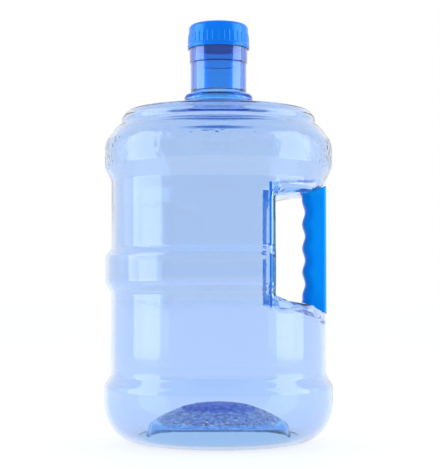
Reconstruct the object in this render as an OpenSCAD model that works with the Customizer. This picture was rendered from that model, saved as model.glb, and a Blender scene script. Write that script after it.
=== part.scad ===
// Large water jug: a blow-moulded bottle with a hand notch in one side,
// a grip bar closing the notch, and a screw cap with a sealing liner.
// Millimetres. +Z is up, the jug stands on z = 0 and its axis is the Z axis.
// The notch and the grip are on the +X side.

/* [Bottle] */
// Radius of the plain cylinder of the bottle
body_r = 103.8; // [102:0.1:105]
// Radius of the foot, outside the cylinder
foot_r = 110.6; // [109:0.1:112]
// Radius of the raised middle band
band_r = 109.6; // [107:0.1:111]
// Radius of the shoulder bulge
shoulder_r = 110.5; // [109:0.1:112]
// Radius of the crown above the shoulder
crown_r = 94.2; // [92:0.1:96]
// Wall thickness of the bottle
wall = 3.2; // [2:0.1:4]
// Height of the crown's edge above the floor
crown_z = 318.3; // [316:0.1:320]
// Height of the mouth above the floor
mouth_z = 400; // [398:0.1:400.2]

/* [Base] */
// Height of the domed push-up under the bottle
punt_h = 35; // [30:0.5:38]
// Height of the edge of the domed push-up above the floor
punt_rim = 15; // [12:0.5:18]
// Radius of the domed push-up
punt_r = 63; // [58:0.5:65]
// Outer radius of the flat standing ring
ring_r = 77.6; // [75:0.1:80]

/* [Neck] */
// Outer radius of the plain neck
neck_r = 27.35; // [27:0.05:27.7]
// Radius of the wider part of the neck, just under the cap
bead_r = 28.4; // [28:0.05:28.45]
// Radius of the neck's bore
bore_r = 23; // [21:0.5:23.5]
// Radius of the flange at the foot of the neck
flange_r = 33.2; // [31:0.1:35]

/* [Hand notch] */
// Distance of the notch's inner wall from the axis
notch_x = 51.9; // [48:0.1:56]
// Height of the notch's floor at its inner wall
notch_lo = 137.4; // [136:0.1:142]
// Height of the notch's ceiling at its inner wall
notch_hi = 234.3; // [230:0.1:236]

/* [Grip] */
// Distance of the grip's inner edge from the axis, halfway between ridge and groove
grip_x = 82.9; // [80:0.1:85]
// Radius of the grip's outer face about the bottle's axis
grip_r = 104.4; // [103:0.1:106]
// Width of the grip, front to back
grip_w = 30; // [24:1:36]
// Distance between neighbouring finger grooves
groove_pitch = 23.25; // [21:0.25:25]
// Height of a groove's waves, half of the way from crest to bottom
groove_d = 1.3; // [0.6:0.1:2]
// Depth of the tenon at each end of the grip
tenon_d = 9; // [6:0.5:10]

/* [Cap] */
// Outer radius of the cap's lower collar
cap_r = 30.4; // [30.2:0.1:31]
// Height of the cap's lower edge above the floor
cap_z = 380; // [379:0.5:381]
// Height of the cap
cap_h = 24; // [23.6:0.1:25]
// Number of grip ribs round the cap
ribs = 36; // [24:1:48]
// Pitch of the screw thread
pitch = 6; // [5.6:0.1:6.4]

/* [Hidden] */
$fn = 96;

// ---------- 2D paths with rounded corners ----------
// A path is a list of [x, y, corner radius].
function unit(v) = v / norm(v);
function xy(p) = [p[0], p[1]];
function xy3(p) = [p[0], p[1], 0];
function corner(p0, p1, p2, r, n) =
    r <= 0 ? [p1] :
    let (u = unit(p0 - p1), v = unit(p2 - p1), a = acos(u * v),
         c = p1 + unit(u + v) * r / sin(a / 2),
         s = p1 + u * r / tan(a / 2), t = p1 + v * r / tan(a / 2),
         a0 = atan2(s[1] - c[1], s[0] - c[0]),
         a1 = atan2(t[1] - c[1], t[0] - c[0]),
         d = a1 - a0 > 180 ? a1 - a0 - 360 : a1 - a0 < -180 ? a1 - a0 + 360 : a1 - a0)
    [for (i = [0:n]) c + r * [cos(a0 + d * i / n), sin(a0 + d * i / n)]];
function rounded(P, n = 5) = [for (i = [0:len(P) - 1])
    each (i == 0 || i == len(P) - 1 ? [xy(P[i])]
        : corner(xy(P[i - 1]), xy(P[i]), xy(P[i + 1]), P[i][2], n))];
function rounded_loop(P, n = 5) = let (m = len(P)) [for (i = [0:m - 1])
    each corner(xy(P[(i + m - 1) % m]), xy(P[i]), xy(P[(i + 1) % m]), P[i][2], n)];
// The path moved sideways by t, to its left as it runs.
function left(u) = [-u[1], u[0]];
function shifted(P, t) = [for (i = [0:len(P) - 1])
    let (a = left(unit(P[min(i + 1, len(P) - 1)] - P[min(i, len(P) - 2)])),
         b = left(unit(P[max(i, 1)] - P[max(i - 1, 0)])))
    P[i] + t * (a + b) / (1 + a * b)];

// ---------- the bottle's outline ----------
core_r = 25.6;                 // neck under the thread
dome_h = punt_h - punt_rim;
dome_R = (punt_r * punt_r + dome_h * dome_h) / (2 * dome_h);
function dome_z(x) = punt_h - dome_R + sqrt(dome_R * dome_R - x * x);
foot_a = foot_r - ring_r;      // the foot is a quarter of an ellipse
foot_b = 39.5;
lower = rounded([
    [0, punt_h, 0],
    for (x = [8:8:punt_r - 5]) [x, dome_z(x), 0],
    [punt_r + 0.8, punt_rim - 0.5, 5],
    [punt_r + 4.5, 0, 4],
    [ring_r, 0, 0],
    for (a = [10:10:90]) [ring_r + foot_a * sin(a), foot_b * (1 - cos(a)), 0],
    [foot_r, 54.5, 12],
    [body_r, 64.5, 6],
    [body_r, 142.5, 6],
    [band_r, 151.5, 8],
    [band_r, 178.2, 6],
    [body_r, 185.5, 6],
    [body_r, 250, 8],
    [shoulder_r, 263.5, 10],
    [shoulder_r, 287.8, 20],
    [crown_r + 5.3, 301.8, 12],
    [crown_r, 306, 4],
    [crown_r, 311.5, 6],
    [crown_r - 5.7, crown_z, 5],
    [48.5, crown_z + 2, 0]]);
upper = rounded([
    [48.5, crown_z + 2, 0],
    [47.5, crown_z + 2, 0],
    [46, crown_z + 4.6, 1],
    [35.5, crown_z + 7, 3],
    [flange_r, crown_z + 10, 3],
    [flange_r, 334.5, 3.5],
    [neck_r, 336.8, 1],
    [neck_r, 365.2, 0.4],
    [bead_r, 366.3, 0.4],
    [bead_r, cap_z + 2.2, 0.4],
    [core_r, cap_z + 3.2, 0.4],
    [core_r, mouth_z - 0.8, 0],
    [core_r - 0.8, mouth_z, 0]]);
inner_top = rounded([
    xy3(shifted(lower, wall)[len(lower) - 1]),
    [43.5, crown_z + 1.2, 2],
    [31, crown_z + 3.6, 3],
    [28.6, 331, 3],
    [bore_r, 336.8, 2],
    [bore_r, mouth_z - 0.8, 0],
    [bore_r + 0.6, mouth_z, 0]]);
function reversed(P) = [for (i = [len(P) - 1:-1:0]) P[i]];
// ---------- thread ----------
crest_r = 27.1;                // neck thread crest
root_r = 27.5;                 // inside of the cap between its threads
cap_crest_r = 26.1;            // cap thread crest
lip_r = 26.8;                  // inside of the cap above its threads
steps = 24;                    // sections in one turn
// A ridge of trapezoid section on a right-hand helix. rb is the buried
// radius, rc the crest's. Both ends run out into the wall.
module ridge(rb, rc, rw, z0, turns, wb = 3, wc = 1.2) {
    n = round(turns * steps);
    out = rc > rb;
    pts = [for (i = [0:n])
        let (a = 360 * i / steps, z = z0 + pitch * i / steps,
             f = min(1, i / 5, (n - i) / 5),
             r = rw + (rc - rw) * f - (out ? 1 : -1) * 0.15 * (1 - f))
        each [for (q = [[rb, -wb / 2], [r, -wc / 2], [r, wc / 2], [rb, wb / 2]])
            [q[0] * cos(a), q[0] * sin(a), z + q[1]]]];
    side = [for (i = [0:n - 1]) each [for (k = [0:3])
        let (a = 4 * i + k, b = 4 * i + (k + 1) % 4, c = a + 4, d = b + 4)
        each [[a, b, d], [a, d, c]]]];
    ends = [[0, 2, 1], [0, 3, 2],
            [4 * n, 4 * n + 1, 4 * n + 2], [4 * n, 4 * n + 2, 4 * n + 3]];
    f0 = concat(side, ends);
    polyhedron(pts, out ? f0 : [for (f = f0) [f[2], f[1], f[0]]], convexity = 6);
}

// ---------- the hand notch, drawn in the XZ plane ----------
// g grows it on every side.
function notch_path(g = 0) = rounded_loop([
    [notch_x - g, notch_lo - g, 6 + g],
    [86, notch_lo - 4.9 - g, 14],
    [132, notch_lo - 31.2 - g, 0],
    [132, notch_hi + 22.5 + g, 0],
    [84, notch_hi + 3.7 + g, 14],
    [notch_x - g, notch_hi + g, 6 + g]]);
module notch(g = 0)
    translate([0, 130, 0]) rotate([90, 0, 0])
        linear_extrude(260) polygon(notch_path(g));

// The pockets that hold the grip's tenons. g grows them.
ten_x = 88;
ten_l = 11;
ten_w = 16;
function floor_z(x) = notch_lo - 4.9 - (x - 86) * 26.3 / 46;
function ceil_z(x) = notch_hi + 3.7 + (x - 84) * 18.8 / 48;
module pocket(g = 0) {
    translate([ten_x - g, -ten_w / 2 - g, ceil_z(ten_x) - 6])
        cube([ten_l + 2 * g, ten_w + 2 * g, tenon_d + 6 + g]);
    translate([ten_x - g, -ten_w / 2 - g, floor_z(ten_x) - tenon_d - g])
        cube([ten_l + 2 * g, ten_w + 2 * g, tenon_d + 6 + g]);
}

module bottle_shell() color("lightskyblue", 0.45)
    difference() {
        union() {
            // the blown wall, all the way round
            rotate_extrude() polygon(concat(lower, upper,
                reversed(concat(shifted(lower, wall), inner_top))));
            // the notch's own wall, which ends inside the blown wall
            intersection() {
                rotate_extrude() polygon(concat(shifted(lower, wall / 2),
                    [[0, crown_z - wall]]));
                union() {
                    notch(wall);
                    pocket(wall);
                }
            }
            ridge(core_r - 0.8, crest_r, core_r, mouth_z - 13, 1.6);
        }
        notch();
        pocket(0.1);
    }

// ---------- grip ----------
mid_z = 185.9;
function wave(z) = grip_x - groove_d * cos(360 * (z - mid_z) / groove_pitch);
module handle_grip() color("dodgerblue") {
    intersection() {
        // side view: the notch's outline, cut by the wavy inner edge
        translate([0, 60, 0]) rotate([90, 0, 0]) linear_extrude(120)
            intersection() {
                polygon(notch_path(-0.05));
                polygon([[125, 90], for (z = [90:1.5:270]) [wave(z), z], [125, 270]]);
            }
        cylinder(r = grip_r, h = 400);
        // plan view: a bar with rounded inner edges
        translate([0, 0, 60]) linear_extrude(240) polygon(rounded_loop([
            [grip_x - groove_d - 0.4, -grip_w / 2, 8], [112, -grip_w / 2, 0],
            [112, grip_w / 2, 0], [grip_x - groove_d - 0.4, grip_w / 2, 8]]));
    }
    translate([ten_x, -ten_w / 2, ceil_z(ten_x) - 4])
        cube([ten_l, ten_w, tenon_d + 3.5]);
    translate([ten_x, -ten_w / 2, floor_z(ten_x) - tenon_d + 0.5])
        cube([ten_l, ten_w, tenon_d + 3.5]);
}

// ---------- cap ----------
rib_r = cap_r - 0.9;           // side of the cap between the ribs
cap_top = cap_z + cap_h;
liner_z = mouth_z + 0.1;
liner_t = 1.6;
module cap_shell() color("#0a78dc")
    union() {
        difference() {
            rotate_extrude() polygon(rounded([
                [0, cap_z, 0], [cap_r, cap_z, 0.8], [cap_r, cap_z + 3.4, 0.8],
                [rib_r, cap_z + 4.6, 0.6], [rib_r - 0.7, cap_top, 4.5],
                [0, cap_top, 0]]));
            rotate_extrude() polygon(rounded([
                [0, cap_z - 1, 0], [bead_r + 0.35, cap_z - 1, 0],
                [bead_r + 0.35, cap_z + 3.6, 0], [root_r, cap_z + 4.6, 0],
                [root_r, mouth_z - 0.5, 0], [lip_r, mouth_z + 0.4, 0],
                [lip_r, liner_z + liner_t + 0.1, 0],
                [0, liner_z + liner_t + 0.1, 0]]));
        }
        ridge(root_r + 0.7, cap_crest_r, root_r, mouth_z - 10, 1.3);
        for (i = [0:ribs - 1]) rotate(i * 360 / ribs)
            translate([rib_r - 0.6, -0.6, cap_z + 3.8]) rotate([0, -2, 0])
                cube([1.05, 1.2, 10.6]);
    }

module cap_liner() color("white")
    translate([0, 0, liner_z]) cylinder(r = lip_r - 0.3, h = liner_t);

bottle_shell();
handle_grip();
cap_shell();
cap_liner();
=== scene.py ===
import math

import bpy
import numpy as np
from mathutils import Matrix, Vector


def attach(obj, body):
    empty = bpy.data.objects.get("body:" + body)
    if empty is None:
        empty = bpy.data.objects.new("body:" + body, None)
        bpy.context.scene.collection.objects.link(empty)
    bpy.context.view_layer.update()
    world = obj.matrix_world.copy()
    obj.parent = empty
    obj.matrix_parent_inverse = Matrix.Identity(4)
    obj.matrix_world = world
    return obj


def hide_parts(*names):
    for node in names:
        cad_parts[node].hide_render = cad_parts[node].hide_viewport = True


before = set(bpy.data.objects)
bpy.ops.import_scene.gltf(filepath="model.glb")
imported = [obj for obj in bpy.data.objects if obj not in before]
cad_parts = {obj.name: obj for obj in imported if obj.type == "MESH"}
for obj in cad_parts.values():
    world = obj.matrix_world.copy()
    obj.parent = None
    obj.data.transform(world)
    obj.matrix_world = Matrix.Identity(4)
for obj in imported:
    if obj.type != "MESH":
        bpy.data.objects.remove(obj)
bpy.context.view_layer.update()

MM = 0.001
TAU = 2 * math.pi

# ---------------------------------------------------------------- numbers, in mm
WALL = 3.2
BODY_R, FOOT_R, BAND_R, SHOULDER_R, CROWN_R = 103.8, 110.6, 109.6, 110.5, 94.2
CROWN_Z, MOUTH_Z = 318.3, 400.0
PUNT_H, PUNT_RIM, PUNT_R, RING_R = 35.0, 15.0, 63.0, 77.6
NECK_R, BEAD_R, BORE_R, FLANGE_R = 27.35, 28.4, 23.0, 33.2
CORE_R, CREST_R, ROOT_R, CAP_CREST_R, LIP_R = 25.6, 27.1, 27.5, 26.1, 26.8
CAP_R, CAP_Z, CAP_H, RIBS, PITCH = 30.4, 380.0, 24.0, 36, 6.0
NOTCH_X, NOTCH_LO, NOTCH_HI = 51.9, 137.4, 234.3
GRIP_X, GRIP_R, GRIP_W, GROOVE_P, GROOVE_D, GRIP_MID = 82.9, 104.4, 30.0, 23.25, 1.3, 185.9


# ---------------------------------------------------------------- 2D helpers
def rounded(path, n=6):
    """A polyline through path, whose points are (x, y, corner radius)."""
    out = [np.array(path[0][:2], float)]
    for i in range(1, len(path) - 1):
        p0, p1, p2 = (np.array(path[j][:2], float) for j in (i - 1, i, i + 1))
        r = path[i][2]
        if r <= 0:
            out.append(p1)
            continue
        u = (p0 - p1) / np.linalg.norm(p0 - p1)
        v = (p2 - p1) / np.linalg.norm(p2 - p1)
        a = math.acos(max(-1.0, min(1.0, float(u @ v))))
        w = (u + v) / np.linalg.norm(u + v)
        c = p1 + w * r / math.sin(a / 2)
        s, t = p1 + u * r / math.tan(a / 2), p1 + v * r / math.tan(a / 2)
        a0 = math.atan2(s[1] - c[1], s[0] - c[0])
        d = math.atan2(t[1] - c[1], t[0] - c[0]) - a0
        d = d - TAU if d > math.pi else d + TAU if d < -math.pi else d
        for k in range(n + 1):
            q = a0 + d * k / n
            out.append(c + r * np.array([math.cos(q), math.sin(q)]))
    out.append(np.array(path[-1][:2], float))
    return np.array(out)


def shifted(p, t):
    """The polyline moved t to its left as it runs."""
    d = np.diff(p, axis=0)
    d /= np.linalg.norm(d, axis=1)[:, None]
    n = np.stack([-d[:, 1], d[:, 0]], 1)
    a, b = np.vstack([n[:1], n]), np.vstack([n, n[-1:]])
    return p + t * (a + b) / (1 + (a * b).sum(1))[:, None]


def resampled(p, step):
    """The polyline with extra points, so that no stretch at point q is longer than step(q)."""
    out = [p[0]]
    for a, b in zip(p[:-1], p[1:]):
        length = float(np.linalg.norm(b - a))
        if length < 1e-6:
            continue
        n = max(1, int(math.ceil(length / step((a + b) / 2))))
        for k in range(1, n + 1):
            out.append(a + (b - a) * k / n)
    return np.array(out)


def smin(a, b, k):
    h = np.clip(k - np.abs(a - b), 0, None) / k
    return np.minimum(a, b) - h * h * k * 0.25


def smoothstep(a, b, x):
    t = np.clip((x - a) / (b - a), 0, 1)
    return t * t * (3 - 2 * t)


def poly_distance(px, py, poly):
    """Signed distance to a closed polygon, negative inside."""
    best = np.full(px.shape, 1e18)
    inside = np.zeros(px.shape, bool)
    for (ax, ay), (bx, by) in zip(poly, np.roll(poly, -1, axis=0)):
        ex, ey = bx - ax, by - ay
        wx, wy = px - ax, py - ay
        t = np.clip((wx * ex + wy * ey) / (ex * ex + ey * ey), 0, 1)
        best = np.minimum(best, (wx - t * ex) ** 2 + (wy - t * ey) ** 2)
        cross = (ay > py) != (by > py)
        with np.errstate(divide="ignore", invalid="ignore"):
            xi = ax + (py - ay) * ex / (ey if ey else 1e-12)
        inside ^= cross & (px < xi)
    d = np.sqrt(best)
    return np.where(inside, -d, d)


def cells(u, v, size, period=None, seed=1, jitter=0.8):
    """Distances to the nearest and second nearest point of a jittered grid, in cells."""
    nu = int(round(period / size)) if period else 256
    su = period / nu if period else size
    a, b = u / su, v / size
    rng = np.random.RandomState(seed)
    table = rng.rand(nu, 256, 2)
    ia, ib = np.floor(a).astype(int), np.floor(b).astype(int)
    f1 = np.full(a.shape, 9.0)
    f2 = np.full(a.shape, 9.0)
    for di in (-1, 0, 1):
        for dj in (-1, 0, 1):
            ca, cb = ia + di, ib + dj
            j = table[ca % nu, cb % 256]
            dx = ca + 0.5 + (j[..., 0] - 0.5) * jitter - a
            dy = cb + 0.5 + (j[..., 1] - 0.5) * jitter - b
            d = np.sqrt(dx * dx + dy * dy)
            f2 = np.minimum(f2, np.maximum(f1, d))
            f1 = np.minimum(f1, d)
    return f1, f2


# ---------------------------------------------------------------- mesh helpers
def grid_mesh(name, rows, close=False, poles=True):
    """A mesh from rows of points, each an (n, 3) array in mm and closed on itself.
    A row whose points all meet becomes one vertex. close joins the last row to the first."""
    verts, index, faces = [], [], []
    for row in rows:
        if poles and np.ptp(row, axis=0).max() < 1e-6:
            index.append([len(verts)])
            verts.append(row[0])
        else:
            index.append(list(range(len(verts), len(verts) + len(row))))
            verts.extend(row)
    pairs = list(zip(index[:-1], index[1:])) + ([(index[-1], index[0])] if close else [])
    for a, b in pairs:
        n = max(len(a), len(b))
        for j in range(n):
            k = (j + 1) % n
            if len(a) == 1:
                faces.append((a[0], b[k], b[j]))
            elif len(b) == 1:
                faces.append((a[j], a[k], b[0]))
            else:
                faces.append((a[j], a[k], b[k], b[j]))
    mesh = bpy.data.meshes.new(name)
    mesh.from_pydata([tuple(v) for v in np.array(verts) * MM], [], faces)
    mesh.validate()
    mesh.update()
    mesh.shade_smooth()
    obj = bpy.data.objects.new(name, mesh)
    bpy.context.scene.collection.objects.link(obj)
    return obj


def ring(r, z, cosines, sines):
    r = np.broadcast_to(r, cosines.shape)
    return np.stack([r * cosines, r * sines, np.broadcast_to(z, cosines.shape)], 1)


def outward(obj):
    """Turns the mesh's faces so that its volume is positive."""
    me = obj.data
    co = np.zeros(len(me.vertices) * 3)
    me.vertices.foreach_get("co", co)
    co = co.reshape(-1, 3)
    me.calc_loop_triangles()
    tri = np.zeros(len(me.loop_triangles) * 3, int)
    me.loop_triangles.foreach_get("vertices", tri)
    a, b, c = (co[tri.reshape(-1, 3)[:, k]] for k in range(3))
    if (a * np.cross(b, c)).sum() < 0:
        me.flip_normals()
    return obj


# ---------------------------------------------------------------- the bottle
dome_H = PUNT_H - PUNT_RIM
dome_R = (PUNT_R ** 2 + dome_H ** 2) / (2 * dome_H)
foot_a, foot_b = FOOT_R - RING_R, 39.5
lower = rounded(
    [(0, PUNT_H, 0)]
    + [(x, PUNT_H - dome_R + math.sqrt(dome_R ** 2 - x * x), 0) for x in np.arange(4, 59, 3.0)]
    + [(PUNT_R + 0.8, PUNT_RIM - 0.5, 5), (PUNT_R + 4.5, 0, 4), (RING_R, 0, 0)]
    + [(RING_R + foot_a * math.sin(math.radians(a)), foot_b * (1 - math.cos(math.radians(a))), 0)
       for a in range(5, 91, 5)]
    + [(FOOT_R, 54.5, 12), (BODY_R, 64.5, 6), (BODY_R, 142.5, 6), (BAND_R, 151.5, 8),
       (BAND_R, 178.2, 6), (BODY_R, 185.5, 6), (BODY_R, 250, 8), (SHOULDER_R, 263.5, 10),
       (SHOULDER_R, 287.8, 20), (CROWN_R + 5.3, 301.8, 12), (CROWN_R, 306, 4),
       (CROWN_R, 311.5, 6), (CROWN_R - 5.7, CROWN_Z, 5), (48.5, CROWN_Z + 2, 0)])
upper = rounded([
    (48.5, CROWN_Z + 2, 0), (47.5, CROWN_Z + 2, 0.6), (46, CROWN_Z + 4.6, 1), (35.5, CROWN_Z + 7, 3),
    (FLANGE_R, CROWN_Z + 10, 3), (FLANGE_R, 334.5, 3.5), (NECK_R, 336.8, 1), (NECK_R, 365.2, 0.4),
    (BEAD_R, 366.3, 0.4), (BEAD_R, CAP_Z + 2.2, 0.4), (CORE_R, CAP_Z + 3.2, 0.4),
    (CORE_R, MOUTH_Z - 0.8, 0.5), (CORE_R - 0.8, MOUTH_Z, 0.3), (BORE_R + 0.6, MOUTH_Z, 0.3)])
inner_low = shifted(lower, WALL)
inner_top = rounded(
    [tuple(inner_low[-1]) + (0,), (43.5, CROWN_Z + 1.2, 2), (31, CROWN_Z + 3.6, 3), (28.6, 331, 3),
     (BORE_R, 336.8, 2), (BORE_R, MOUTH_Z - 0.8, 0.4), (BORE_R + 0.6, MOUTH_Z, 0)])

notch_poly = rounded([
    (300, NOTCH_LO - 4.9 - 214 * 26.3 / 46, 0), (300, NOTCH_HI + 3.7 + 216 * 18.8 / 48, 0),
    (84, NOTCH_HI + 3.7, 14), (NOTCH_X, NOTCH_HI, 6), (NOTCH_X, NOTCH_LO, 6),
    (86, NOTCH_LO - 4.9, 14), (300, NOTCH_LO - 4.9 - 214 * 26.3 / 46, 0)], 8)[:-1]

COLS = 480
angle = np.arange(COLS) * TAU / COLS
COS, SIN = np.cos(angle), np.sin(angle)
near = np.abs((angle + math.pi) % TAU - math.pi) < math.radians(84)


def step_outer(q):
    r, z = q
    if z < 40 and r < 70:
        return 1.4
    if 108 < z < 141:
        return 1.0
    if 231 < z < 240:
        return 0.28
    if 240 <= z < 252:
        return 1.0
    if 252 <= z < 304 and r > 90:
        return 1.3
    if z > 382 and r > 24.5:
        return 0.55
    if r < 50 and z > 318:
        return 1.6
    return 5.0


def step_inner(q):
    r, z = q
    if z < 44 and r < 70:
        return 1.6
    if 104 < z < 141:
        return 1.2
    if 230 < z < 246:
        return 0.45
    if 246 <= z < 304 and r > 90:
        return 2.5
    if r < 50 and z > 318:
        return 3.0
    return 6.0


def notched(r_row, z_row, wall, k):
    """The row's radius at each angle, once the hand notch is cut out of it with rounded edges.
    wall is the depth of the row's skin under the outside."""
    r = np.full(COLS, r_row)
    if not 98 < z_row < 268:
        return r
    c = COS[near]
    lo, hi = np.full(c.shape, 12.0), np.full(c.shape, r_row)

    def f(x):
        d = poly_distance(x * c, np.full(c.shape, z_row), notch_poly)
        return smin(r_row + wall - x, d, k) - wall

    for _ in range(14):
        mid = (lo + hi) / 2
        inside = f(mid) > 0
        lo, hi = np.where(inside, mid, lo), np.where(inside, hi, mid)
    fl, fh = f(lo), f(hi)
    for _ in range(3):
        x = lo + (hi - lo) * np.clip(fl / np.maximum(fl - fh, 1e-12), 0.02, 0.98)
        fx = f(x)
        up = fx > 0
        lo, fl = np.where(up, x, lo), np.where(up, fx, fl)
        hi, fh = np.where(up, hi, x), np.where(up, fh, fx)
    x = lo + (hi - lo) * np.clip(fl / np.maximum(fl - fh, 1e-12), 0, 1)
    # far from the notch the surface stays exactly round
    far = f(np.full(c.shape, r_row - 1e-4)) >= 0
    r[near] = np.where(far, r_row, x)
    return r


def shoulder_relief(z):
    """Hammered pebbles on the shoulder bulge, in mm inwards."""
    band = smoothstep(260, 267, z) * (1 - smoothstep(278, 288, z))
    f1, f2 = cells(angle / TAU * 696, np.full(COLS, z * 1.0), 5.2, period=696, seed=7, jitter=0.95)
    g1, g2 = cells(angle / TAU * 696 + 40, np.full(COLS, z * 1.0 + 31), 3.3, period=696, seed=19, jitter=0.95)
    pebble = np.exp(-(f1 / 0.42) ** 2) + 0.5 * np.exp(-(g1 / 0.42) ** 2)
    return band * 0.12 * (1.2 - pebble)


def punt_relief(r, seed=0):
    """Pebbled plastic on the push-up, with a finer disc in the middle, in mm."""
    x, y = r * COS, r * SIN
    f1, f2 = cells(x + 300, y + 300, 6.0, seed=3 + seed, jitter=0.95)
    g1, g2 = cells(x + 300, y + 300, 4.2, seed=5 + seed, jitter=0.6)
    a = smoothstep(24, 26, r) * (1 - smoothstep(57, 61, r))
    b = 1 - smoothstep(23, 25, r)
    return 1.5 * a * np.exp(-(f1 / 0.4) ** 2) + 1.1 * b * np.exp(-(g1 / 0.4) ** 2)


def thread(z, z0, turns, phase=0.0):
    """0 to 1 where the right-hand thread's ridge stands, at each angle of a row at height z."""
    h = np.zeros(COLS)
    for k in range(-1, int(turns) + 2):
        t = angle / TAU + k            # turns since the thread's start
        c = z0 + PITCH * t
        ends = smoothstep(0, 0.18, t) * (1 - smoothstep(turns - 0.18, turns, t))
        h = np.maximum(h, ends * (1 - smoothstep(0.6, 1.5, np.abs(z - c))))
    return h


def bottle_rows(outer, inner):
    """Rows of a closed piece of the bottle: up its outside, then back down its inside."""
    rows = []
    for r, z in outer:
        if r < 1e-6:
            rows.append(ring(0.0, z, COS, SIN))
            continue
        if z < 40 and r < 64:
            rows.append(ring(r, z + punt_relief(r) * (1 if r > 1 else 0), COS, SIN))
            continue
        rr = notched(r, z, 0.0, 3.4)
        if 256 < z < 304 and r > 90:
            rr = rr - shoulder_relief(z)
        if z > CAP_Z + 3 and r < 26:
            rr = rr + (CREST_R - CORE_R) * thread(z, MOUTH_Z - 13, 1.6)
        rows.append(ring(rr, z, COS, SIN))
    for r, z in inner[::-1]:
        if r < 1e-6:
            rows.append(ring(0.0, z, COS, SIN))
            continue
        lift = 0.8 * punt_relief(r, 20) if z < 44 and r < 63 and r > 1 else 0.0
        rows.append(ring(notched(r, z, WALL, 3.4), z - lift, COS, SIN))
    return rows


rows = bottle_rows(resampled(lower, step_outer), resampled(inner_low, step_inner))
poles = [i for i, row in enumerate(rows) if np.ptp(row, axis=0).max() < 1e-6]
body = outward(grid_mesh("bottle_body", rows))
neck_in = resampled(inner_top, step_inner)
neck_out = resampled(upper, step_outer)
neck_in[0, 0] -= 0.05
neck_out[0, 0] -= 0.05
def stretch(path, lo, hi):
    """The part of a rising profile between two heights."""
    out = []
    for a, b in zip(path[:-1], path[1:]):
        if a[1] >= lo and a[1] <= hi:
            out.append(a)
        for h in (lo, hi):
            if (a[1] - h) * (b[1] - h) < 0:
                out.append(a + (b - a) * (h - a[1]) / (b[1] - a[1]))
    if lo <= path[-1][1] <= hi:
        out.append(path[-1])
    return np.array(out)


def neck_piece(name, lo, hi):
    rows = bottle_rows(stretch(neck_out, lo, hi), stretch(neck_in, lo, hi))
    return outward(grid_mesh(name, rows, close=True))


cone = neck_piece("bottle_neck_cone", 0, 326.0)
root = neck_piece("bottle_neck_root", 326.04, 337.6)
neck = neck_piece("bottle_neck", 337.64, 500)
for piece in (body, cone, root, neck):
    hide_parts("bottle_shell")
    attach(piece, "jug")


# ---------------------------------------------------------------- the grip
def floor_z(x):
    a = NOTCH_LO - (x - NOTCH_X) * 4.9 / (86 - NOTCH_X)
    b = NOTCH_LO - 4.9 - (x - 86) * 26.3 / 46
    return smin(a, b, 4.0)


def ceil_z(x):
    a = NOTCH_HI + (x - NOTCH_X) * 3.7 / (84 - NOTCH_X)
    b = NOTCH_HI + 3.7 + (x - 84) * 18.8 / 48
    return -smin(-a, -b, 4.0)


def grip_section(inner_x, half, outer_r, n_side=10, n_corner=8, n_front=18):
    """Plan outline of the grip: rounded inner edge, and an outer face that follows the bottle."""
    rc, ro = 8.5, 3.0
    pts = []
    ox = math.sqrt(outer_r ** 2 - half ** 2)
    for k in range(n_corner + 1):                       # inner corner at -Y
        a = math.radians(180 + 90 * k / n_corner)
        pts.append((inner_x + rc + rc * math.cos(a), -half + rc + rc * math.sin(a)))
    for k in range(1, n_side):                          # side at -Y
        pts.append((inner_x + rc + (ox - ro - inner_x - rc) * k / n_side, -half))
    for k in range(n_corner + 1):                       # outer corner at -Y
        a = math.radians(270 + 82 * k / n_corner)
        pts.append((ox - ro + ro * math.cos(a), -half + ro + ro * math.sin(a)))
    y0 = pts[-1][1]
    for k in range(1, n_front):                         # outer face
        y = y0 * (1 - 2 * k / n_front)
        pts.append((math.sqrt(outer_r ** 2 - y * y), y))
    return pts + [(x, -y) for x, y in reversed(pts[: 2 * n_corner + n_side + 1])]


def grip_row(v):
    """One loop of the grip's skin; v runs from 0 on the notch's floor to 1 on its ceiling."""
    z_in = floor_z(GRIP_X) + (ceil_z(GRIP_X) - floor_z(GRIP_X)) * v
    edge = GRIP_X - GROOVE_D * math.cos(TAU * (z_in - GRIP_MID) / GROOVE_P)
    end = min(z_in - floor_z(GRIP_X), ceil_z(GRIP_X) - z_in)
    flare = max(0.0, 1 - end / 7.0) ** 2
    edge = edge * (1 - smoothstep(0, 1, flare)) + GRIP_X * smoothstep(0, 1, flare) - 2.6 * flare
    section = np.array(grip_section(edge, GRIP_W / 2 + 1.2 * flare, GRIP_R))
    x, y = section[:, 0], section[:, 1]
    lo, hi = floor_z(x), ceil_z(x)
    z = lo + 0.06 + (hi - lo - 0.12) * v
    return np.stack([x, y, z], 1)


levels = np.concatenate([np.linspace(0, 0.06, 8)[:-1], np.linspace(0.06, 0.94, 110), np.linspace(0.94, 1, 8)[1:]])
rows = [grip_row(v) for v in levels]


def capped(row, steps=6):
    """Rows that close the end of a tube, drawn in from the edge to its middle."""
    mid = row.mean(0)
    out = []
    for k in range(1, steps + 1):
        t = 1 - k / steps
        q = mid + (row - mid) * t
        out.append(q)
    return out


bottom, top = capped(rows[0]), capped(rows[-1])
for group, f, sign in ((bottom, floor_z, 0.06), (top, ceil_z, -0.06)):
    for q in group:
        q[:, 2] = f(q[:, 0]) + sign
grip = outward(grid_mesh("grip_bar", bottom[::-1] + rows + top))
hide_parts("handle_grip")
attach(grip, "jug")

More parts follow.
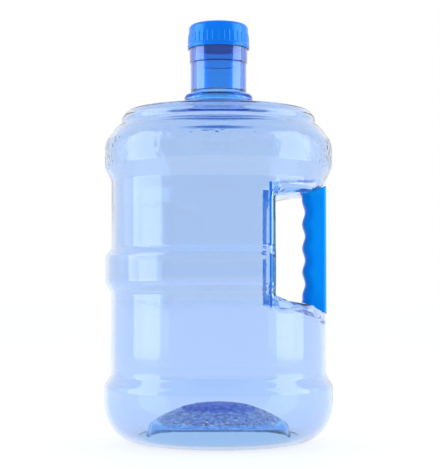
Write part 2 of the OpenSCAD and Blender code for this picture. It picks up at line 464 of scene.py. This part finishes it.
# ---------------------------------------------------------------- the cap
rib_r = CAP_R - 0.9
cap_top = CAP_Z + CAP_H
liner_z, liner_t = MOUTH_Z + 0.1, 1.6
under = liner_z + liner_t + 0.1
CAP_COLS = 720
ca = np.arange(CAP_COLS) * TAU / CAP_COLS
CC, CS = np.cos(ca), np.sin(ca)
cap_out = rounded([(BEAD_R + 0.75, CAP_Z, 0), (CAP_R - 0.25, CAP_Z, 0.2), (CAP_R, CAP_Z + 0.5, 0.3),
                   (CAP_R, CAP_Z + 3.3, 0.8), (rib_r, CAP_Z + 4.5, 0.5), (rib_r - 0.7, cap_top, 4.5),
                   (24, cap_top, 0), (21.5, cap_top - 0.25, 0.6), (0, cap_top - 0.25, 0)], 8)
cap_in = rounded([(0, under, 0), (LIP_R - 0.1, under, 0.3), (LIP_R, MOUTH_Z + 0.4, 0), (ROOT_R, MOUTH_Z - 0.5, 0.2),
                  (ROOT_R, CAP_Z + 4.6, 0.4), (BEAD_R + 0.35, CAP_Z + 3.6, 0.3), (BEAD_R + 0.35, CAP_Z + 0.4, 0.2),
                  (BEAD_R + 0.75, CAP_Z, 0)])


def cap_ribs(z):
    """Height of the fine upright ribs at each angle, in mm, with ends that run out."""
    phase = np.abs(((ca * RIBS / TAU) + 0.5) % 1 - 0.5) * (TAU * rib_r / RIBS)     # mm from a rib's middle
    body = np.clip(1 - (phase / 0.85) ** 2, 0, 1) ** 0.6
    ends = smoothstep(CAP_Z + 4.0, CAP_Z + 5.2, z) * (1 - smoothstep(CAP_Z + 13.2, CAP_Z + 15.2, z))
    return 0.42 * body * ends


def cap_thread(z, z0, turns):
    h = np.zeros(CAP_COLS)
    for k in range(-1, int(turns) + 2):
        t = ca / TAU + k
        ends = smoothstep(0, 0.18, t) * (1 - smoothstep(turns - 0.18, turns, t))
        h = np.maximum(h, ends * (1 - smoothstep(0.6, 1.5, np.abs(z - z0 - PITCH * t))))
    return h


rows = []
for r, z in resampled(cap_out, lambda q: 0.8 if q[0] > 25 else 2.5):
    rows.append(ring(r + cap_ribs(z) * (1 if r > 26 else 0), z, CC, CS) if r > 1e-6 else ring(0.0, z, CC, CS))
for r, z in resampled(cap_in, lambda q: 0.6 if q[0] > 26.5 and q[1] > 384 else 2.5)[:-1]:
    if r < 1e-6:
        rows.append(ring(0.0, z, CC, CS))
        continue
    t = (ROOT_R - CAP_CREST_R) * cap_thread(z, MOUTH_Z - 10, 1.3) if ROOT_R - 0.3 < r < ROOT_R + 0.3 else 0.0
    rows.append(ring(r - t, z, CC, CS))


def two_sided(name, rows):
    """Closes a lathe whose skin starts and ends at its rim and passes the axis twice, as a cap's does."""
    poles = [i for i, row in enumerate(rows) if np.ptp(row, axis=0).max() < 1e-6]
    outside, inside = rows[: poles[0] + 1], rows[poles[1]:]
    verts, faces = [], []

    def add(row):
        base = len(verts)
        pts = row[:1] if np.ptp(row, axis=0).max() < 1e-6 else row
        verts.extend(pts)
        return list(range(base, base + len(pts)))

    def bridge(a, b):
        n = max(len(a), len(b))
        for j in range(n):
            k = (j + 1) % n
            if len(a) == 1:
                faces.append((a[0], b[k], b[j]))
            elif len(b) == 1:
                faces.append((a[j], a[k], b[0]))
            else:
                faces.append((a[j], a[k], b[k], b[j]))

    io = [add(row) for row in outside]
    ii = [add(row) for row in inside]
    for a, b in zip(io[:-1], io[1:]):
        bridge(a, b)
    for a, b in zip(ii[:-1], ii[1:]):
        bridge(a, b)
    bridge(ii[-1], io[0])
    mesh = bpy.data.meshes.new(name)
    mesh.from_pydata([tuple(v) for v in np.array(verts) * MM], [], faces)
    mesh.validate()
    mesh.update()
    mesh.shade_smooth()
    obj = bpy.data.objects.new(name, mesh)
    bpy.context.scene.collection.objects.link(obj)
    return outward(obj)


cap = two_sided("screw_cap", rows)
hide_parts("cap_shell")
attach(cap, "cap")

# ---------------------------------------------------------------- the liner
LC = np.arange(144) * TAU / 144
lc, ls = np.cos(LC), np.sin(LC)
lr = LIP_R - 0.3
liner_path = [(0, liner_z, 0), (14, liner_z, 0), (14.6, liner_z + 0.22, 0.3), (15.4, liner_z + 0.22, 0.3),
              (16, liner_z, 0), (lr, liner_z, 0.5), (lr, liner_z + liner_t, 0.5), (0, liner_z + liner_t, 0)]
liner = outward(grid_mesh("seal_disc", [ring(r, z, lc, ls) for r, z in resampled(rounded(liner_path, 4), lambda q: 3.0)]))
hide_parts("cap_liner")
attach(liner, "cap_seal")


# ---------------------------------------------------------------- materials
def srgb(r, g, b):
    return tuple((c / 255 / 12.92) if c / 255 <= 0.04045 else ((c / 255 + 0.055) / 1.055) ** 2.4 for c in (r, g, b)) + (1.0,)


def new_material(name):
    m = bpy.data.materials.new(name)
    m.use_nodes = True
    nt = m.node_tree
    nt.nodes.clear()
    out = nt.nodes.new("ShaderNodeOutputMaterial")
    bsdf = nt.nodes.new("ShaderNodeBsdfPrincipled")
    nt.links.new(bsdf.outputs["BSDF"], out.inputs["Surface"])
    coord = nt.nodes.new("ShaderNodeTexCoord")
    return m, nt, bsdf, out, coord


def node(nt, kind, **values):
    n = nt.nodes.new(kind)
    for k, v in values.items():
        if k in n.inputs.keys():
            n.inputs[k].default_value = v
        else:
            setattr(n, k, v)
    return n


def noise(nt, coord, scale, detail=3.0, rough=0.5, stretch=None):
    n = node(nt, "ShaderNodeTexNoise", Scale=scale, Detail=detail, Roughness=rough)
    if stretch:
        m = nt.nodes.new("ShaderNodeMapping")
        m.inputs["Scale"].default_value = stretch
        nt.links.new(coord.outputs["Object"], m.inputs["Vector"])
        nt.links.new(m.outputs["Vector"], n.inputs["Vector"])
    else:
        nt.links.new(coord.outputs["Object"], n.inputs["Vector"])
    return n


def ranged(nt, source, lo, hi, a=0.0, b=1.0):
    n = nt.nodes.new("ShaderNodeMapRange")
    n.inputs["From Min"].default_value, n.inputs["From Max"].default_value = a, b
    n.inputs["To Min"].default_value, n.inputs["To Max"].default_value = lo, hi
    nt.links.new(source, n.inputs["Value"])
    return n.outputs["Result"]


def set_material(obj, m):
    obj.data.materials.clear()
    obj.data.materials.append(m)


def clear_plastic(name, tint, rough, ior=1.5, wave=0.2, grain=0.03):
    """Clear tinted plastic: soft waves from blowing, a fine grain, and handling haze in the roughness."""
    m, nt, b, out, co = new_material(name)
    b.inputs["Transmission Weight"].default_value = 1.0
    b.inputs["IOR"].default_value = ior
    b.inputs["Base Color"].default_value = tint + (1,)
    n1 = noise(nt, co, 30.0, 4.0, 0.55)
    n2 = noise(nt, co, 420.0, 2.0, 0.5)
    nt.links.new(ranged(nt, n1.outputs["Fac"], rough[0], rough[1], 0.3, 0.7), b.inputs["Roughness"])
    wavy = noise(nt, co, 9.0, 2.0, 0.5, (1.0, 1.0, 0.35))
    bump = node(nt, "ShaderNodeBump", Strength=wave, Distance=0.004)
    nt.links.new(wavy.outputs["Fac"], bump.inputs["Height"])
    bump2 = node(nt, "ShaderNodeBump", Strength=grain, Distance=0.0004)
    nt.links.new(n2.outputs["Fac"], bump2.inputs["Height"])
    nt.links.new(bump.outputs["Normal"], bump2.inputs["Normal"])
    nt.links.new(bump2.outputs["Normal"], b.inputs["Normal"])
    return m, nt, out


body_clear = clear_plastic("clear_blue_plastic", (0.65, 0.765, 0.94), (0.01, 0.05))[0]
# painted shade: a deep blue tint for part of the notch's side wall, standing in for the dark strip it shows seen
# edge-on
notch_wall_shade_clear = clear_plastic("notch_wall_painted_shade", (0.01, 0.17, 0.64), (0.02, 0.06))[0]
# painted shade and painted light: darker tints for the push-up dome and its middle disc
punt_shaded_clear = clear_plastic("punt_painted_shade_and_light", (0.30, 0.40, 0.70), (0.04, 0.10), ior=1.12)[0]
disc_shaded_clear = clear_plastic("disc_painted_shade_and_light", (0.05, 0.26, 0.86), (0.03, 0.08), ior=1.12)[0]
ring_clear = clear_plastic("base_blue_plastic", (0.50, 0.755, 0.96), (0.02, 0.06), ior=1.05)[0]
# painted shade and painted light: a noise mottle of dark and pale tints stands in for the way the push-up's pebbles
# look
for m, dark, light in ((punt_shaded_clear, (0.20, 0.30, 0.56, 1), (0.80, 0.86, 0.97, 1)),
                       (disc_shaded_clear, (0.0, 0.05, 0.48, 1), (0.08, 0.40, 0.95, 1))):
    nt = m.node_tree
    b = [n for n in nt.nodes if n.type == "BSDF_PRINCIPLED"][0]
    co = [n for n in nt.nodes if n.type == "TEX_COORD"][0]
    painted_mottle = noise(nt, co, 230.0, 2.0, 0.6)
    mix = nt.nodes.new("ShaderNodeMix")
    mix.data_type = "RGBA"
    mix.inputs["A"].default_value, mix.inputs["B"].default_value = dark, light
    nt.links.new(ranged(nt, painted_mottle.outputs["Fac"], 0.0, 1.0, 0.42, 0.62), mix.inputs["Factor"])
    nt.links.new(mix.outputs["Result"], b.inputs["Base Color"])
# painted shade: a deeper blue tint that darkens the crown plate round the neck's root
crown_shade_clear = clear_plastic("crown_painted_shade", (0.24, 0.48, 0.90), (0.01, 0.05))[0]
# painted shade: a mid blue tint for part of the notch's side wall and its edge
notch_edge_shade_clear = clear_plastic("notch_edge_painted_shade", (0.34, 0.60, 0.94), (0.01, 0.05), ior=1.15)[0]
# painted shade: a deeper blue tint for the notch's floor and ceiling, with a low IOR that dulls their reflections
notch_shelf_shade_clear = clear_plastic("notch_shelf_painted_shade", (0.50, 0.70, 0.95), (0.01, 0.05), ior=1.04)[0]
hammered = clear_plastic("hammered_blue_plastic", (0.65, 0.765, 0.94), (0.01, 0.05))[0]
nt = hammered.node_tree
b = [n for n in nt.nodes if n.type == "BSDF_PRINCIPLED"][0]
co = [n for n in nt.nodes if n.type == "TEX_COORD"][0]
dents = noise(nt, co, 170.0, 1.0, 0.4)
dent_bump = node(nt, "ShaderNodeBump", Strength=1.0, Distance=0.0004)
nt.links.new(dents.outputs["Fac"], dent_bump.inputs["Height"])
nt.links.new(b.inputs["Normal"].links[0].from_socket, dent_bump.inputs["Normal"])
nt.links.new(dent_bump.outputs["Normal"], b.inputs["Normal"])
for m in (body_clear, notch_wall_shade_clear, punt_shaded_clear, disc_shaded_clear, ring_clear, crown_shade_clear, notch_edge_shade_clear, notch_shelf_shade_clear, hammered):
    body.data.materials.append(m)
centres = np.zeros(len(body.data.polygons) * 3)
body.data.polygons.foreach_get("center", centres)
centres = centres.reshape(-1, 3) / MM
normals = np.zeros(len(body.data.polygons) * 3)
body.data.polygons.foreach_get("normal", normals)
normals = np.abs(normals.reshape(-1, 3))
reach = np.hypot(centres[:, 0], centres[:, 1])
kind = np.zeros(len(centres), int)
# painted shade: faces of the notch's side walls take tints deeper than the body's (kinds 1 and 6)
notch_shade_band = (reach > 97) & (centres[:, 2] > NOTCH_LO - 9) & (centres[:, 2] < NOTCH_HI + np.where(centres[:, 1] > 0, 15, 9)) & ~(
    (centres[:, 2] > 178) & (centres[:, 2] < 185) & (reach > 99))
kind[notch_shade_band & (centres[:, 1] > 30) & (centres[:, 0] > 47.0) & (centres[:, 0] < 54)] = 1
kind[notch_shade_band & (centres[:, 1] < -30) & (centres[:, 0] > 45.3) & (centres[:, 0] < 48.4)] = 1
kind[notch_shade_band & (centres[:, 1] < -30) & (centres[:, 0] > 49.4) & (centres[:, 0] < 54)] = 6
high = centres[:, 2]
# painted shade: the notch's floor and ceiling take the deeper tint (kind 7)
shelf_shade_band = ((high > NOTCH_LO - 16) & (high < NOTCH_LO + 12)) | ((high > NOTCH_HI - 12) & (high < NOTCH_HI + 16))
kind[(high > 261) & (high < 288) & (reach > 95)] = 8
kind[shelf_shade_band & (centres[:, 0] > 47) & (reach < 99)] = 7
# painted shade: this face of the notch wall also takes the mid blue tint (kind 6)
kind[(centres[:, 0] > 49) & (centres[:, 0] < 56) & (centres[:, 1] < -74) & (normals[:, 0] > 0.4)
     & (high > NOTCH_LO - 4) & (high < NOTCH_HI + 4)] = 6
# painted shade: the crown plate round the neck's root takes the deeper tint (kind 5)
kind[(reach < 57) & (high > 300)] = 5
kind[(reach < 76) & (high < 34)] = 4
# painted shade and painted light: the push-up dome and its middle disc take the mottled tints (kinds 2 and 3)
kind[(reach < 61) & (centres[:, 2] > 12) & (centres[:, 2] < 42)] = 2
kind[(reach < 36) & (centres[:, 2] > 12) & (centres[:, 2] < 42)] = 3
body.data.polygons.foreach_set("material_index", kind)

# the tube's absorption is the thick neck plastic's own colour; the cone's much denser absorption is that colour plus
# painted shade, darkening the neck's foot as seen through the crown
for piece, name, colour, density in ((neck, "thick_blue_plastic", (0.03, 0.69, 0.955, 1), 500.0),
                                     (cone, "cone_blue_plastic", (0.02, 0.60, 0.92, 1), 900.0),
                                     (root, "root_blue_plastic", (0.05, 0.62, 0.97, 1), 115.0)):
    m, nt, out = clear_plastic(name, (0.93, 0.96, 1.0), (0.01, 0.04), wave=0.05)
    vol = nt.nodes.new("ShaderNodeVolumeAbsorption")
    vol.inputs["Color"].default_value = colour
    vol.inputs["Density"].default_value = density
    nt.links.new(vol.outputs["Volume"], out.inputs["Volume"])
    thick = [n for n in nt.nodes if n.type == "BSDF_PRINCIPLED"][0]
    thick.inputs["Specular Tint"].default_value = (0.4, 0.75, 1.0, 1)
    if piece is cone:
        thick.inputs["IOR"].default_value = 1.2
    if piece is neck:
        thick.inputs["Coat Weight"].default_value = 1.0
        thick.inputs["Coat Roughness"].default_value = 0.03
        thick.inputs["Coat IOR"].default_value = 1.9
    set_material(piece, m)


def solid_plastic(name, colour, deeper, rough=(0.28, 0.42), grain=900.0, sheen=(1, 1, 1)):
    m, nt, b, out, co = new_material(name)
    big = noise(nt, co, 35.0, 4.0, 0.6)
    mix = nt.nodes.new("ShaderNodeMix")
    mix.data_type = "RGBA"
    mix.inputs["A"].default_value, mix.inputs["B"].default_value = deeper, colour
    nt.links.new(ranged(nt, big.outputs["Fac"], 0.0, 1.0, 0.35, 0.65), mix.inputs["Factor"])
    nt.links.new(mix.outputs["Result"], b.inputs["Base Color"])
    fine = noise(nt, co, grain, 2.0, 0.5)
    nt.links.new(ranged(nt, big.outputs["Fac"], rough[0], rough[1], 0.3, 0.7), b.inputs["Roughness"])
    bump = node(nt, "ShaderNodeBump", Strength=0.12, Distance=0.0003)
    nt.links.new(fine.outputs["Fac"], bump.inputs["Height"])
    nt.links.new(bump.outputs["Normal"], b.inputs["Normal"])
    b.inputs["IOR"].default_value = 1.5
    b.inputs["Specular Tint"].default_value = sheen + (1,)
    return m


set_material(grip, solid_plastic("grip_azure_plastic", srgb(0, 166, 255), srgb(0, 158, 252), sheen=(0.1, 0.6, 1.0)))
set_material(cap, solid_plastic("cap_blue_plastic", srgb(0, 122, 216), srgb(0, 114, 208), (0.14, 0.22), sheen=(0.25, 0.9, 1.0)))
cap_painted_glow_bsdf = [n for n in cap.data.materials[0].node_tree.nodes if n.type == "BSDF_PRINCIPLED"][0]
cap_painted_glow_bsdf.inputs["IOR"].default_value = 1.75
# painted glow: a faint blue emission over the whole cap lifts its shaded inner skirt to deep blue
cap_painted_glow_bsdf.inputs["Emission Color"].default_value = (0.0, 0.16, 1.0, 1)
cap_painted_glow_bsdf.inputs["Emission Strength"].default_value = 0.1
set_material(liner, solid_plastic("liner_foam", srgb(232, 236, 238), srgb(222, 227, 230), (0.6, 0.8), 1500.0))

# ---------------------------------------------------------------- floor, light, camera
SIDE_GLOW = 1.0
world = bpy.data.worlds.new("studio")
bpy.context.scene.world = world
world.use_nodes = True
wn = world.node_tree
bg = wn.nodes["Background"]
bg.inputs["Strength"].default_value = 1.0
# white behind the jug and dimmer on the camera's side, as in a bright-field studio
wc = wn.nodes.new("ShaderNodeTexCoord")
ws = wn.nodes.new("ShaderNodeSeparateXYZ")
wn.links.new(wc.outputs["Generated"], ws.inputs["Vector"])
wr = wn.nodes.new("ShaderNodeMapRange")
wr.interpolation_type = "SMOOTHSTEP"
for k, v in (("From Min", -0.2), ("From Max", 0.9), ("To Min", 0.0), ("To Max", 1.0)):
    wr.inputs[k].default_value = v
wn.links.new(ws.outputs["Y"], wr.inputs["Value"])
lp = wn.nodes.new("ShaderNodeLightPath")
wm = wn.nodes.new("ShaderNodeMath")
wm.operation = "MAXIMUM"
wn.links.new(wr.outputs["Result"], wm.inputs[0])
wn.links.new(lp.outputs["Is Camera Ray"], wm.inputs[1])
wx = wn.nodes.new("ShaderNodeMix")
wx.data_type = "RGBA"
wx.inputs["A"].default_value = (0.30, 0.48, 0.90, 1)
wx.inputs["B"].default_value = (1, 1, 1, 1)
wn.links.new(wm.outputs["Value"], wx.inputs["Factor"])
# two soft-edged bright patches, to the left and the right of the jug
side = wn.nodes.new("ShaderNodeMath")
side.operation = "ABSOLUTE"
wn.links.new(ws.outputs["X"], side.inputs[0])
patch = None
for socket, lo, hi, a, z in ((side.outputs[0], 0.80, 0.94, 0.0, 1.0), (ws.outputs["Z"], -0.05, 0.12, 0.0, 1.0),
                             (ws.outputs["Z"], 0.45, 0.75, 1.0, 0.0)):
    edge = wn.nodes.new("ShaderNodeMapRange")
    edge.interpolation_type = "SMOOTHSTEP"
    for k, v in (("From Min", lo), ("From Max", hi), ("To Min", a), ("To Max", z)):
        edge.inputs[k].default_value = v
    wn.links.new(socket, edge.inputs["Value"])
    if patch is None:
        patch = edge.outputs["Result"]
    else:
        both = wn.nodes.new("ShaderNodeMath")
        both.operation = "MULTIPLY"
        wn.links.new(patch, both.inputs[0])
        wn.links.new(edge.outputs["Result"], both.inputs[1])
        patch = both.outputs[0]
bright = wn.nodes.new("ShaderNodeMath")
bright.operation = "MULTIPLY_ADD"
bright.inputs[1].default_value, bright.inputs[2].default_value = SIDE_GLOW, 1.0
wn.links.new(patch, bright.inputs[0])
wn.links.new(bright.outputs[0], bg.inputs["Strength"])
wn.links.new(wx.outputs["Result"], bg.inputs["Color"])

mesh = bpy.data.meshes.new("floor")
s = 14.0
mesh.from_pydata([(-s, -s, 0), (s, -s, 0), (s, s, 0), (-s, s, 0)], [], [(0, 1, 2, 3)])
floor = bpy.data.objects.new("floor", mesh)
bpy.context.scene.collection.objects.link(floor)
floor.location.z = -0.0004
m, nt, b, out, co = new_material("pale_paper")
b.inputs["Base Color"].default_value = (0.3, 0.3, 0.3, 1)
b.inputs["Roughness"].default_value = 0.7
b.inputs["Specular IOR Level"].default_value = 0.1
b.inputs["Emission Color"].default_value = (1, 1, 1, 1)
b.inputs["Emission Strength"].default_value = 0.78
set_material(floor, m)


def softbox(name, azimuth, distance, width, height, z, power):
    """A soft light at an angle from the camera's side of the jug, facing the jug."""
    a = math.radians(azimuth)
    data = bpy.data.lights.new(name, "AREA")
    data.shape = "RECTANGLE"
    data.size, data.size_y = width, height
    data.energy = power
    obj = bpy.data.objects.new(name, data)
    bpy.context.scene.collection.objects.link(obj)
    obj.location = (math.sin(a) * distance, -math.cos(a) * distance, z)
    obj.rotation_euler = (Vector((0, 0, 0.2)) - obj.location).to_track_quat("-Z", "Y").to_euler()
    return obj


softbox("soft_left", -80, 1.5, 1.1, 1.9, 0.55, 11)
softbox("soft_right", 80, 1.5, 1.1, 1.9, 0.55, 11)

camera_data = bpy.data.cameras.new("camera")
camera_data.sensor_width = 36.0
camera_data.sensor_fit = "AUTO"
camera_data.lens = 36.0 * 1318 / 469
camera_data.clip_start, camera_data.clip_end = 0.01, 100
camera = bpy.data.objects.new("camera", camera_data)
bpy.context.scene.collection.objects.link(camera)
camera.location = (0.0, -1.2794, 0.1442)
camera.rotation_euler = (math.radians(90 + 2.496), 0, 0)
camera_data.shift_x = 1.5 / 469
camera_data.shift_y = -0.8 / 469
bpy.context.scene.camera = camera
bpy.context.scene.view_settings.view_transform = "Standard"
bpy.context.scene.cycles.max_bounces = 32
bpy.context.scene.cycles.transmission_bounces = 32
bpy.context.scene.cycles.glossy_bounces = 32
bpy.context.scene.cycles.transparent_max_bounces = 16
